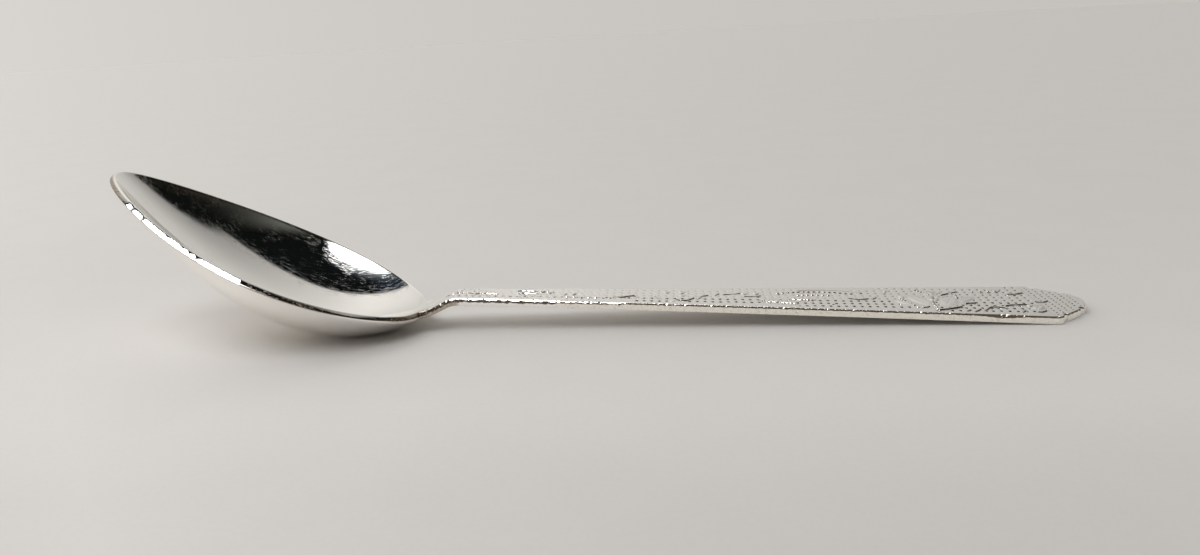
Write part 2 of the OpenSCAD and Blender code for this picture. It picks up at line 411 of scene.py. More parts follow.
def end_rows(form, count):
    """Edge and middle of rows around the handle's end: far side, tongue and near side."""
    far = end_outline(form)
    near = far[::-1] * np.array([1, -1])
    edge = resample(np.concatenate([far, near[1:]]), count, 0.00012)
    # One more row before the shoulders on each side
    start = form.shoulder_x - 0.0001
    before = np.array([[start, form.half(np.array(start))]])
    edge = np.concatenate([before, edge, before * np.array([1, -1])])
    deepest = form.end_x - 0.0034
    share = np.linspace(-1, 1, count)
    middle = form.shoulder_x + (deepest - form.shoulder_x) * np.cos(share * math.pi / 2) ** 0.8
    return edge, np.concatenate([[start], middle, [start]])


def between(x, start, end, soft):
    """1 between two places and 0 outside, with smooth steps."""
    return ease((x - start) / soft + 0.5) * ease((end - x) / soft + 0.5)


# Notches in the worn flat of the near rim: place along the spoon, half width, both in millimetres, and depth
NOTCHES_MM = [
    (-60.6, 0.3, 0.6), (-58.7, 0.25, 0.9), (-54.9, 0.3, 0.25), (-52.6, 0.35, 0.35), (-51.5, 0.3, 0.5),
    (-50.4, 0.35, 0.6), (-49.6, 0.2, 0.4),
]

# Short bright places along the handle's near edge, in millimetres along the spoon
SPARKS_MM = [
    4.7, 9.3, 10.5, 11.6, 13.0, 16.6, 18.6, 23.6, 26.3, 32.1, 35.5, 39.4, 44.2, 47.9, 54.4, 55.1, 57.3,
    61.4,
]


def edge_profile(form, x, y):
    """The rounded edge of the metal, one row of pairs (a, b) for each row of the skin.

    a is the distance out from the upper edge, always 0 or less, and b the depth under the upper face.
    Three corners, each rounded by a quadratic curve, are joined by straight lines. Where the edge is
    worn flat the curves are short, elsewhere they are long. The shares of worn rim and of polish follow.
    """
    bowl, handle = form.bowl, form.handle
    near = (y < 0) * 1.0
    g = form.gauge(x)
    c = ease((x - form.crank_start) / (0.72 * form.neck.length))
    rough = ripple(x, 0.0034, 1.0 + near)
    # The bowl's rim is worn flat on the near side, with a few dents in the flat
    flat = near * between(x, form.tip_x + bowl.flat_start, form.tip_x + bowl.flat_end, 0.0003)
    dents = np.zeros_like(x)
    for place, width, depth in NOTCHES_MM:
        dents = np.maximum(dents, depth * np.exp(-(((x - place * MM) / (width * MM)) ** 2)))
    flat = flat * (1 - dents)
    lean = np.tan(bowl.lean * (0.15 + 0.85 * flat))
    # The handle's edge is worn to a facet next to the neck, and to short facets and sparks further on
    past = x - form.crank_end - handle.facet_length
    facet = 1 - ease(past / 0.0003 + 0.5)
    worn = (1 - facet) * ease((handle.worn_length - past) / 0.001)
    spark_width = 0.00016
    sparks = np.exp(-(((x[:, None] - np.array(SPARKS_MM) * MM) / spark_width) ** 2)).max(1)
    sparks = near * np.maximum(0.9 * sparks, worn * ease((rough - 0.1) / 0.2))
    lit = np.maximum(facet, sparks)
    # A fold widens the near edge short of the end
    fold = 0.00026 * np.exp(-(((x - form.end_x + 0.0128) / 0.0019) ** 2))
    wide = handle.chamfer_end + (handle.chamfer_neck - handle.chamfer_end) * np.maximum(facet, 0.5 * worn)
    wide = (wide * (1 + 0.15 * ripple(x, 0.0023, 3.0 + near)) + near * fold) * (0.4 + 0.6 * c)
    level = np.maximum(np.maximum(0.72 * facet, 0.5 * sparks), 0.62 * (1 - worn))
    dent = 0.00002 * (ripple(x, 0.0013, 2.0 + near) - 1) * c
    tilt = handle.edge_tilt + (handle.facet_tilt - handle.edge_tilt) * lit
    # The three corners: under the upper face, half way down, and at the back
    a0 = -c * wide * np.sin(tilt) + dent
    a1 = -(1 - c) * 0.5 * g * lean + dent - 0.00005 * facet * c * ease(0.35 + ripple(x, 0.0031, 2.4))
    a2 = -(1 - c) * g * lean + np.minimum(dent + 0.00001, 0)
    b0 = np.zeros_like(a0)
    b1 = (1 - c) * 0.5 * g + c * wide * np.cos(tilt)
    corners = np.stack([np.stack(p, -1) for p in ((a0, b0), (a1, b1), (a2, g))], 1)
    ends = np.stack([np.full_like(a0, -1.0), b0], -1)
    first = corners[:, 1] - corners[:, 0]
    second = corners[:, 2] - corners[:, 1]
    long_first = np.linalg.norm(first, axis=-1)
    long_second = np.linalg.norm(second, axis=-1)
    first, second = unit(first), unit(second)

    def mix(in_bowl, on_handle):
        return in_bowl + (on_handle - in_bowl) * c

    # How far each curve reaches to both sides of its corner, and how much room it has there
    turn = 0.5 * (1 - level) * wide
    top = mix(0.0002 + 0.00003 * (1 - flat) + 0.00005 * (1 - near), turn)
    foot = mix(0.00023 + 0.00028 * ease((x - form.heel_x + 0.022) / 0.014), 0.00013)
    crease = 0.00002
    reach_in = [top, mix(crease, turn + 0.00012 * facet), foot]
    reach_out = [top, mix(crease, turn + 0.0001 + 0.00038 * facet), foot]
    free = np.full_like(a0, 0.0006)
    room_in = [free, 0.5 * long_first, mix(0.5, 0.3) * long_second]
    room_out = [0.5 * long_first, mix(0.5, 0.7) * long_second, free]
    into = [-ends, first, second]
    out = [first, second, ends]
    u = np.linspace(0, 1, bpy.context.scene.teaspoon_steps.corner)[None, :, None]
    parts = []
    for k in range(3):
        corner = corners[:, k][:, None]
        before = np.minimum(reach_in[k], 0.98 * room_in[k])[:, None, None]
        after = np.minimum(reach_out[k], 0.98 * room_out[k])[:, None, None]
        start = corner - into[k][:, None] * before
        stop = corner + out[k][:, None] * after
        parts.append((1 - u) ** 2 * start + 2 * u * (1 - u) * corner + u**2 * stop)
    profile = np.concatenate(parts, 1)
    return profile[..., 0], profile[..., 1], flat * (1 - c), np.maximum(flat, facet)


def curve(points, u):
    """Places at shares u of a quadratic curve through three points, the second at a half."""
    start, middle, end = points
    control = 2 * middle - (start + end) / 2
    return (1 - u) ** 2 * start + 2 * u * (1 - u) * control + u**2 * end


class Relief:
    """Heights of the pressed pattern over the handle's upper face, worked out for a whole array of places.

    up is the height over the ground, cover tells ornament from ground, and hollow is 1 where tarnish
    gathers. The shapes are given in millimetres.
    """

    # How far the dots keep off a shape, over how much they fade in, and half the width of its dark foot
    CLEAR = 0.00025
    FADE = 0.0002
    FOOT = 0.0001

    def __init__(self, x, y, sizes):
        self.x, self.y, self.sizes = x, y, sizes
        self.up, self.cover, self.hollow = np.zeros((3, *x.shape))

    def near(self, points, reach):
        """Places within reach of the box round some points."""
        low, high = np.min(points, 0) - reach, np.max(points, 0) + reach
        return np.nonzero((self.x > low[0]) & (self.x < high[0]) & (self.y > low[1]) & (self.y < high[1]))

    def add(self, where, up, inside, hollow, clear=CLEAR):
        """Adds a shape to what is there already, where inside is the way in from its outline."""
        self.up[where] = np.maximum(self.up[where], up)
        self.cover[where] = np.maximum(self.cover[where], ease((inside + clear) / self.FADE))
        self.hollow[where] = np.maximum(self.hollow[where], hollow)

    def raise_to(self, where, inside, groove, soft=0.0, tarnish=0.6):
        """Lifts places where inside is over 0, with an edge that is sizes.edge wide, or soft if that is more.

        A soft edge gathers less tarnish at its foot.
        """
        edge = max(self.sizes.edge, soft)
        share = np.clip(inside / edge, 0, 1)
        rise = 0.7 * share + 0.3 * ease(share)
        foot = np.exp(-(((inside + 0.3 * self.FOOT) / self.FOOT) ** 2))
        up = self.sizes.relief * rise - groove * rise
        self.add(where, up, inside, tarnish * foot * self.sizes.edge / edge)

    def leaf(self, root, tip, width, bend, teeth):
        """A leaf from root to tip.

        Its midrib is a parabola of height bend over the chord, its half width is the sine of the share
        of its length to the power 0.8, notched by teeth, and its veins slant away from the midrib.
        """
        root, tip = np.array(root) * MM, np.array(tip) * MM
        width, bend = width * MM, bend * MM
        vein_pitch = 0.00062
        chord = np.hypot(*(tip - root))
        way = (tip - root) / chord
        where = self.near([root, tip], width + abs(bend) + 0.0005)
        dx, dy = self.x[where] - root[0], self.y[where] - root[1]
        s = (dx * way[0] + dy * way[1]) / chord
        v = -dx * way[1] + dy * way[0] - bend * 4 * s * (1 - s)
        half = width / 2 * np.sin(math.pi * np.clip(s, 0, 1) ** 0.8) ** 0.75
        half = half * (0.72 + 0.36 * ((s * teeth) % 1.0))
        inside = np.where((s < 0) | (s > 1), -0.001, half - np.abs(v))
        midrib = 0.00005 * np.exp(-((v / 0.00009) ** 2))
        phase = ((s * chord - 0.9 * np.abs(v)) / vein_pitch) % 1.0
        self.raise_to(where, inside, midrib + 0.00006 * np.exp(-(((phase - 0.5) / 0.16) ** 2)))

    def petal(self, centre, along, across, angle, dish=0.25):
        """A petal: an ellipse whose face sinks a little towards its middle.

        A large one has a groove along its middle and more tarnish at its foot.
        """
        centre = np.array(centre) * MM
        along, across, angle = along * MM / 2, across * MM / 2, math.radians(angle)
        size = min(along, across)
        large = size > 0.0006
        where = self.near([centre], max(along, across) + 0.0005)
        dx, dy = self.x[where] - centre[0], self.y[where] - centre[1]
        u = dx * math.cos(angle) + dy * math.sin(angle)
        v = -dx * math.sin(angle) + dy * math.cos(angle)
        inside = (1 - np.sqrt((u / along) ** 2 + (v / across) ** 2)) * size
        sink = self.sizes.relief * dish * ease(inside / (0.7 * size))
        if large:
            sink = sink + 0.00005 * np.exp(-((v / 0.00011) ** 2))
        self.raise_to(where, inside, sink, 0.5 * size, 0.6 if large else 0.25)

    def stroke(self, start, middle, end, width, height):
        """A raised line along a quadratic curve through three places, thinner at its ends.

        Its height over the distance r from its middle, as a share of half its width, is
        (1 - r squared) squared.
        """
        width, height = width * MM, height * MM
        pieces = 29
        line = curve([np.array(p) * MM for p in (start, middle, end)], np.linspace(0, 1, pieces + 1)[:, None])
        where = self.near(line, width + 0.0004)
        place = np.stack([self.x[where], self.y[where]], -1)[:, None]
        a, b = line[None, :-1], line[None, 1:]
        run = b - a
        t = np.clip(((place - a) * run).sum(-1) / (run * run).sum(-1), 0, 1)
        distance = np.linalg.norm(place - a - run * t[..., None], axis=-1)
        nearest = distance.argmin(1)
        pick = np.arange(len(nearest)), nearest
        distance = distance[pick]
        radius = width / 2 * (0.6 + 0.4 * np.sin(math.pi * (nearest + t[pick]) / pieces))
        dome = np.clip(1 - (distance / radius) ** 2, 0, 1) ** 2
        foot = np.exp(-(((distance - 0.9 * radius) / self.FOOT) ** 2))
        self.add(where, height * dome, radius - distance, 0.8 * foot)

    def beads(self, start, middle, end, count, along, across):
        """A row of small petals along a quadratic curve through three places."""
        points = [np.array(p) for p in (start, middle, end)]
        for u in np.linspace(0, 1, count):
            self.petal(curve(points, u), along, across, 0, 0.0)

    def berry(self, centre, radius):
        """A round dome with a small pit on its top."""
        centre, radius = np.array(centre) * MM, radius * MM
        where = self.near([centre], radius + 0.0004)
        distance = np.hypot(self.x[where] - centre[0], self.y[where] - centre[1])
        dome = np.sqrt(np.clip(1 - (distance / radius) ** 2, 0, 1))
        pit = 0.55 * np.exp(-((distance / (0.38 * radius)) ** 2))
        dark = np.exp(-((distance / (0.3 * radius)) ** 2))
        self.add(where, self.sizes.relief * (dome - pit), radius - distance, dark, 0.00022)

    def grain(self, height):
        """Fine unevenness of the pressed ground: the mean of six waves that run in different directions."""
        count = 6
        waves = 0
        for k in range(count):
            turn = 2 * math.pi / (0.0006 + 0.00013 * k)
            way = 1.1 + 2.4 * k
            waves = waves + np.sin(turn * (self.x * math.cos(way) + self.y * math.sin(way)) + 1.7 * k)
        self.up += height * waves / count

    def dots(self, pitch, row, radius, depth, shift, keep, strength=1.0):
        """Punched dots on a square lattice: (1 - r squared) squared deep, where keep is over a half."""
        column = np.round((self.x - shift) / pitch)
        line = np.round(self.y / row)
        jitter = 0.00005
        dx = self.x - shift - column * pitch - jitter * np.sin(12.9 * column + 78.2 * line)
        dy = self.y - line * row - jitter * np.sin(39.3 * column + 11.1 * line)
        r2 = (dx * dx + dy * dy) / radius**2
        punch = np.clip(1 - r2, 0, 1) ** 2
        keep = ease((keep - 0.35) / 0.3) * (1 - ease((self.cover - 0.3) / 0.4))
        self.up -= depth * punch * keep * (0.3 + 0.7 * strength)
        self.hollow = np.maximum(self.hollow, 0.8 * np.clip(1 - 0.8 * r2, 0, 1) * keep * strength)


# The ornament from the neck to the end, each place in millimetres along the spoon and across it
# Leaves: root, tip, width, bend and teeth
LEAVES_MM = [
    (-21.3, 0.6, -13.4, -0.2, 2.2, 0.5, 7), (23.1, -1.6, 28.6, -3.1, 1.3, 0.4, 6),
    (27.4, -0.9, 31.3, -1.1, 0.9, 0.15, 4),
]
# Petals: centre, length, width and angle
PETALS_MM = [
    (43.2, -1.7, 3.4, 1.5, 148), (45.5, -0.7, 5.2, 2.3, 114), (49.4, -0.7, 5.0, 2.6, 66),
    (51.8, 0.1, 3.6, 1.5, 42), (47.5, 2.7, 2.6, 1.8, 90), (60.4, -3.1, 2.4, 1.6, 60),
    (43.3, 0.9, 1.0, 0.8, 0), (11.3, -2.5, 0.9, 0.7, -30), (33.2, -2.9, 0.5, 0.5, 0),
    (41.6, 3.4, 1.4, 0.6, 70),
]
# Rows of small lobes: start, middle, end, count, length and width of one
BEADS_MM = [
    (26.2, 1.7, 31.4, 2.7, 36.5, 1.9, 15, 0.66, 0.5), (29.0, 0.9, 31.0, 1.1, 33.2, 1.0, 7, 0.56, 0.46),
    (47.0, 0.3, 47.4, 0.2, 47.9, 0.1, 3, 0.6, 0.5), (-3.6, -1.3, -0.5, -1.5, 2.5, -1.5, 7, 0.56, 0.5),
    (46.0, 4.2, 46.7, 3.1, 47.2, 1.9, 6, 0.5, 0.44), (42.9, 0.0, 43.6, -1.4, 44.4, -3.6, 7, 0.46, 0.44),
    (-21.3, 0.5, -19.6, 1.3, -17.6, 1.5, 4, 0.6, 0.5), (-7.6, 1.0, -6.6, 0.8, -5.8, 0.7, 3, 0.5, 0.5),
    (46.9, -4.9, 46.9, -2.8, 47.1, -0.8, 7, 0.44, 0.42), (50.9, 0.8, 50.9, 1.4, 51.0, 2.0, 3, 0.46, 0.46),
    (53.8, 3.6, 55.6, 3.9, 57.0, 3.9, 4, 0.5, 0.4),
]
# Raised lines: start, middle, end, width and height
STROKES_MM = [
    (-11.0, 1.2, -9.7, 1.4, -8.1, 1.1, 0.32, 0.135), (-10.8, 0.0, -9.5, 0.2, -7.9, -0.1, 0.32, 0.135),
    (-7.4, 0.6, -7.2, 1.0, -7.0, 1.2, 0.26, 0.13), (-6.2, 0.4, -6.0, 0.8, -5.9, 1.1, 0.26, 0.13),
    (-4.0, -0.4, -3.9, 0.0, -3.8, 0.4, 0.26, 0.13), (-2.8, -0.2, -2.6, 0.1, -2.5, 0.5, 0.26, 0.13),
    (3.1, -0.5, 3.9, -1.0, 4.6, -0.9, 0.46, 0.16), (4.4, -1.0, 5.2, -0.5, 6.1, -0.2, 0.46, 0.16),
    (6.1, -0.2, 6.3, -0.7, 6.4, -1.2, 0.36, 0.13), (8.9, -0.5, 9.3, -1.2, 9.6, -1.9, 0.34, 0.17),
    (11.9, -1.8, 13.2, -2.1, 14.3, -0.9, 0.5, 0.17), (15.1, -1.1, 15.5, -0.1, 16.3, 0.3, 0.42, 0.13),
    (17.4, 0.3, 17.6, 0.8, 17.9, 1.1, 0.36, 0.12), (18.6, 0.8, 19.9, 1.2, 20.9, 1.5, 0.46, 0.12),
    (21.2, 0.1, 22.6, 0.15, 23.7, 0.5, 0.44, 0.12), (29.5, 3.2, 34.0, 3.8, 38.0, 2.7, 0.6, 0.1),
    (35.9, -0.1, 37.2, -0.5, 38.5, -0.2, 0.44, 0.135), (39.1, -0.4, 39.4, 0.0, 39.7, 0.5, 0.4, 0.12),
    (45.0, -3.7, 45.6, -3.6, 46.0, -3.2, 0.5, 0.15), (47.6, 3.6, 47.9, 3.2, 48.2, 2.8, 0.3, 0.16),
    (48.6, 3.7, 48.9, 3.3, 49.1, 2.9, 0.3, 0.16), (46.6, -4.8, 48.3, -4.2, 50.3, -3.3, 0.66, 0.2),
    (49.1, 2.0, 49.6, 2.3, 50.2, 2.7, 0.52, 0.16), (50.8, 3.1, 51.2, 3.4, 51.7, 3.6, 0.42, 0.12),
    (51.2, -1.9, 51.9, -1.6, 52.7, -1.5, 0.5, 0.17), (50.5, -5.0, 50.8, -4.8, 51.1, -4.4, 0.4, 0.12),
    (51.5, -5.2, 52.0, -4.7, 52.5, -4.1, 0.42, 0.13), (52.9, -4.8, 53.3, -4.2, 53.8, -3.6, 0.42, 0.13),
    (53.8, -3.6, 54.8, -3.1, 56.1, -3.7, 0.52, 0.16), (56.3, -2.6, 57.7, -2.0, 59.3, -2.0, 0.5, 0.155),
    (57.7, -5.1, 58.0, -4.7, 58.2, -4.3, 0.46, 0.14), (59.6, -5.0, 60.3, -4.9, 60.9, -4.4, 0.46, 0.14),
    (58.5, 2.8, 59.6, 2.95, 60.7, 3.5, 0.52, 0.15), (60.8, -0.6, 61.7, -0.7, 62.6, -0.4, 0.52, 0.15),
]
# Berries: centre and radius
BERRIES_MM = [
    (10.5, 1.7, 0.5), (12.7, 1.8, 0.5), (12.7, 0.2, 0.46), (21.5, 1.5, 0.48), (23.2, 1.7, 0.44),
    (47.5, 0.0, 0.66), (57.4, 4.3, 0.45), (59.6, -2.3, 0.42),
]


def press_relief(form, x, y, sizes):
    """Height and tarnish of the pattern on the handle: ornament first, then dots in the ground between."""
    relief = Relief(x, y, sizes)
    for row in LEAVES_MM:
        relief.leaf(row[:2], row[2:4], *row[4:])
    for row in PETALS_MM:
        relief.petal(row[:2], *row[2:])
    for row in BEADS_MM:
        relief.beads(row[:2], row[2:4], row[4:6], *row[6:])
    for row in STROKES_MM:
        relief.stroke(row[:2], row[2:4], row[4:6], *row[6:])
    for row in BERRIES_MM:
        relief.berry(row[:2], row[2])
    # The large dots keep off both edges and start on a slanted line past the neck
    pitch, row, soft = sizes.dot_pitch, sizes.dot_row, 0.0001
    half = form.half(np.minimum(x, form.shoulder_x))
    line = np.round(y / row) * row
    near_gap = half + line - 0.0011
    far_gap = half - line - 0.0006
    start = (x + 0.0212 + 0.25 * y) / 0.0004
    keep = ease(near_gap / soft) * ease(far_gap / soft) * ease(start)
    split = form.shoulder_x - 0.0004
    # The upper rows are worn, most of all next to the neck, and less towards the end
    upper = ease((y + 0.0006) / 0.0006)
    left = 1 - ease((x + 0.001) / 0.006)
    worn = 0.7 - 0.25 * ease((x - 0.036) / 0.004) - 0.12 * ease((x - 0.05) / 0.004)
    strength = 1 - upper * worn - 0.3 * left
    relief.grain(0.000018 + 0.00006 * (1 - ease((x + 0.012) / 0.02)))
    shift = 0.00002
    relief.dots(pitch, row, sizes.dot_radius, sizes.dot_depth, shift, keep * (x < split), strength)
    # The small dots fill the end up to its slanted sides
    small = sizes.end_pitch
    reach = np.clip((form.end_x - 0.0011 - x) / soft, 0, 1)
    slant = np.clip((form.end_x + 0.0012 - x - 0.95 * np.abs(y)) / 0.0002, 0, 1)
    relief.dots(small, small, 0.28 * small, 0.6 * sizes.dot_depth, 0.0, reach * slant * (x >= split))
    fade = ease(start + 1.0)
    return relief.up * fade, relief.hollow * fade


# Where the worn flat of the rim is taken to face its one way
RIM_FACE_AT = -0.0495


def within(distance, reach, soft):
    """1 up to a distance in from the edge and 0 further in, with a smooth step."""
    return 1 - ease((distance - reach) / soft)


def edge_tarnish_and_painted_reflection(form, edge, distance, rho, outside):
    """Tarnish of the plain metal next to the edge, and a painted dark reflection on the outside of the tip.
    """
    x, near = edge[:, 0], edge[:, 1] < 0
    # The far rim is tarnished just inside its edge
    far = (edge[:, 1] > 0) * between(x, form.tip_x + 0.004, form.tip_x + 0.026, 0.006)
    edge_tarnish_and_painted_dark = 0.7 * far[:, None] * within(distance, 0.0002, 0.0003)
    edge_tarnish_and_painted_dark = edge_tarnish_and_painted_dark * (0.7 + 0.3 * ripple(edge[:, :1], 0.0021, 1.0))
    # So are the neck's near edge and the near rim beside its worn flat
    bend = near * between(x, form.crank_start - 0.0012, form.crank_end + 0.0002, 0.0008)
    edge_tarnish_and_painted_dark = np.maximum(edge_tarnish_and_painted_dark, 1.1 * bend[:, None] * within(distance, 0, 0.0003))
    brown = near * between(x, form.tip_x + 0.0221, form.heel_x - 0.009, 0.004)
    edge_tarnish_and_painted_dark = np.maximum(edge_tarnish_and_painted_dark, 0.75 * brown[:, None] * within(distance, 0.0001, 0.0002) * (rho > 0.5))
    # A painted dark reflection darkens the outside of the tip on the near side
    tip = near * (1 - ease((x - form.tip_x - 0.0025) / 0.0035))
    edge_tarnish_and_painted_dark[:, outside] += 1.1 * tip[:, None]
    return edge_tarnish_and_painted_dark


def lay_skin(form, edge, middle, steps, ornament):
    """Places, normals, tarnish with a painted dark reflection at the tip, and wear of a block of rows over
    the whole section.

    Each row starts on the middle line, runs out over the upper face to the edge, follows the rounded
    edge down and comes back under the metal. Normals are cross products of the differences between
    neighbours, for which one more row stands at each end and one more column on each side.
    """
    run = edge - np.stack([middle, np.zeros_like(middle)], -1)

    def place(rho, drop):
        x = middle[:, None] + rho * run[:, :1]
        y = rho * run[:, 1:]
        inside = np.where(x > form.shoulder_x, form.handle.width, form.half(x))
        t = np.clip(y / np.maximum(inside, 1e-7), -1, 1)
        x = np.maximum(x, form.tip_x)
        spot = np.stack([x, y, form.face(x, t)], -1)
        normal = form.normal(x, t)
        return spot, normal, spot - drop[..., None] * normal

    # How far a share of the row leads at the edge, measured square to the outline
    one = np.ones((len(edge), 1))
    probe = 0.004
    brim, brim_normal, _ = place(one, 0 * one)
    inner, _, _ = place(one - probe, 0 * one)
    outward = unit(np.cross(np.gradient(brim[:, 0], axis=0), brim_normal[:, 0]))
    lead = (brim[:, 0] - inner[:, 0]) / probe
    scale = (lead * outward).sum(-1)
    scale = np.maximum(scale * np.sign(scale[len(scale) // 2]), 0.45 * np.linalg.norm(lead, axis=-1))
    # The columns: the upper face, the rounded edge and the back, with one more on each side
    a, b, flat, polish = edge_profile(form, edge[:, 0], edge[:, 1])
    top = np.linspace(0, 1, (steps.bowl_top if ornament is None else steps.top) + 1)[None]
    back = np.linspace(1, 0, steps.back + 1)[None]
    first = 1 + a[:, :1] / scale[:, None]
    last = 1 + a[:, -1:] / scale[:, None]
    top_rho = first * top[:, :-1]
    ghost = -0.5 * (top[0, 1] - top[0, 0]) * first
    rho = np.concatenate([ghost, top_rho, 1 + a / scale[:, None], last * back[:, 1:], ghost], 1)
    columns = top_rho.shape[1] + 1
    under = form.gauge(middle[:, None] + rho * run[:, :1])
    drop = np.zeros_like(rho)
    drop[:, columns : columns + a.shape[1]] = b
    drop[:, columns + a.shape[1] :] = under[:, columns + a.shape[1] :]
    spot, _, places = place(rho, drop)
    distance = (1 - rho) * scale[:, None]
    tarnish = np.zeros_like(rho)
    if ornament is not None:
        upper = slice(0, columns)
        lift, hollow = press_relief(form, spot[:, upper, 0], spot[:, upper, 1], ornament)
        fade = ease((distance[:, upper] + a[:, :1] - 0.00005) / 0.0003)
        places[:, upper, 2] += lift * fade
        tarnish[:, upper] = hollow * fade
    rows = places[2:] - places[:-2]
    across = places[:, 2:] - places[:, :-2]
    normals = unit(np.cross(rows[:, 1:-1], across[1:-1]))
    # The rim is worn by one plane, so that its flat faces one way all along
    corner = steps.corner
    worn = slice(columns + corner - 1, columns + 2 * corner + 1)
    core = np.nonzero((np.abs(edge[:, 0] - RIM_FACE_AT) < 0.001) & (edge[:, 1] <= 0))[0]
    if len(core):
        way = unit(normals[core - 1][:, worn].mean((0, 1)))
        share = 0.92 * flat[1:-1, None, None]
        normals[:, worn] = unit(normals[:, worn] * (1 - share) + way * share)
    wear = (1 - ease(distance / 0.00045)) * (1 - 0.85 * polish[:, None])
    outside = slice(columns + corner, columns + 3 * corner + 2)
    # Tarnish next to the edge, with the painted dark reflection at the tip, joins the tarnish share
    tarnish = np.maximum(tarnish, edge_tarnish_and_painted_reflection(form, edge, distance, rho, outside))
    return places[1:-1, 1:-1], normals, tarnish[1:-1, 1:-1], wear[1:-1, 1:-1]


def corner_runs(faces, back):
    """Corners of faces, less each that is welded to the next one, and the number left in each face."""
    welded = back[faces]
    keep = welded != np.roll(welded, -1, 1)
    keep &= (keep.sum(1) > 2)[:, None]
    counts = keep.sum(1)
    return faces[keep], counts[counts > 0]


def build_mesh(name, blocks):
    """A closed mesh from blocks of rows, welded where they meet, with a flat cap on each open end."""
    places, normals, tarnish, wear, quads, caps = [], [], [], [], [], []
    offset = 0
    for spots, block_normals, hollow, brink in blocks:
        n, k = spots.shape[:2]
        places.append(spots.reshape(-1, 3))
        normals.append(block_normals.reshape(-1, 3))
        tarnish.append(hollow.ravel())
        wear.append(brink.ravel())
        index = offset + np.arange(n * k).reshape(n, k)
        corners = [index[:-1, :-1], index[1:, :-1], index[1:, 1:], index[:-1, 1:]]
        quads.append(np.stack([c.ravel() for c in corners], -1))
        caps.append((index[0], spots[0], spots[1]))
        caps.append((index[-1][::-1], spots[-1][::-1], spots[-2]))
        offset += n * k
    places, normals, tarnish, wear, quads = map(np.concatenate, (places, normals, tarnish, wear, quads))
    key = np.round(places / WELD).astype(np.int64)
    _, first, back = np.unique(key, axis=0, return_index=True, return_inverse=True)
    back = back.reshape(-1)
    corners, counts = corner_runs(quads, back)
    loop_normals = [normals[corners]]
    corners, counts = [corners], [counts]
    for ring, spots, inner in caps:
        flat = unit((spots.mean(0) - inner.mean(0)) * np.array([1, 0, 0]))
        ring, count = corner_runs(ring[None], back)
        corners.append(ring)
        counts.append(count)
        loop_normals.append(np.repeat(flat[None], len(ring), 0))
    loops = back[np.concatenate(corners)]
    counts = np.concatenate(counts)
    starts = np.cumsum(counts) - counts
    mesh = bpy.data.meshes.new(name)
    mesh.vertices.add(len(first))
    mesh.vertices.foreach_set("co", places[first].astype(np.float32).ravel())
    mesh.loops.add(len(loops))
    mesh.loops.foreach_set("vertex_index", loops.astype(np.int32))
    mesh.polygons.add(len(starts))
    mesh.polygons.foreach_set("loop_start", starts.astype(np.int32))
    mesh.update(calc_edges=True)
    if mesh.validate():
        raise RuntimeError("the faces of " + name + " are not in order")
    for label, values in (("tarnish", tarnish), ("wear", wear)):
        attribute = mesh.attributes.new(label, "FLOAT", "POINT")
        attribute.data.foreach_set("value", values[first].astype(np.float32))
    mesh.shade_smooth()
    mesh.normals_split_custom_set(np.concatenate(loop_normals).astype(np.float32))
    return mesh


def add_piece(form, name, nodes, rows, pattern=True):
    """Lays the skin over blocks of rows, each given by its edge and its middle line.

    Links the piece with its finish, and hides the solids that it stands for.
    """
    scene = bpy.context.scene
    ornament = scene.teaspoon_ornament if pattern else None
    blocks = [lay_skin(form, edge, middle, scene.teaspoon_steps, ornament) for edge, middle in rows]
    piece = bpy.data.objects.new(name, build_mesh(name, blocks))
    scene.collection.objects.link(piece)
    piece.data.materials.append(silver_material())
    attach(piece, BODY)
    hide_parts(*nodes)


def add_straight(form, name, nodes, start, end, count):
    """A piece of the handle between two places: rows on the near side and on the far side."""
    near = straight_rows(form, end, start, count, -1)
    far = straight_rows(form, start, end, count, 1)
    add_piece(form, name, nodes, [near, far])


class Value:
    """Wraps a socket of a node tree, so that shader maths reads as an expression."""

    def __init__(self, tree, socket):
        self.tree, self.socket = tree, socket

    def math(self, operation, other, swapped=False):
        """A maths node on this value and another, or on the other one first."""
        node = self.tree.nodes.new("ShaderNodeMath")
        node.operation = operation
        for slot, value in zip(node.inputs, (other, self) if swapped else (self, other)):
            feed(self.tree, slot, value)
        return Value(self.tree, node.outputs[0])

    def __add__(self, other):
        return self.math("ADD", other)

    def __sub__(self, other):
        return self.math("SUBTRACT", other)

    def __rsub__(self, other):
        return self.math("SUBTRACT", other, True)

    def __mul__(self, other):
        return self.math("MULTIPLY", other)

    def __truediv__(self, other):
        return self.math("DIVIDE", other)

    def __rtruediv__(self, other):
        return self.math("DIVIDE", other, True)

    def __neg__(self):
        return self.math("MULTIPLY", -1.0)

    __radd__, __rmul__ = __add__, __mul__


def feed(tree, slot, value):
    """Links a wrapped socket, or sets a plain value."""
    if isinstance(value, Value):
        tree.links.new(value.socket, slot)
    else:
        slot.default_value = value


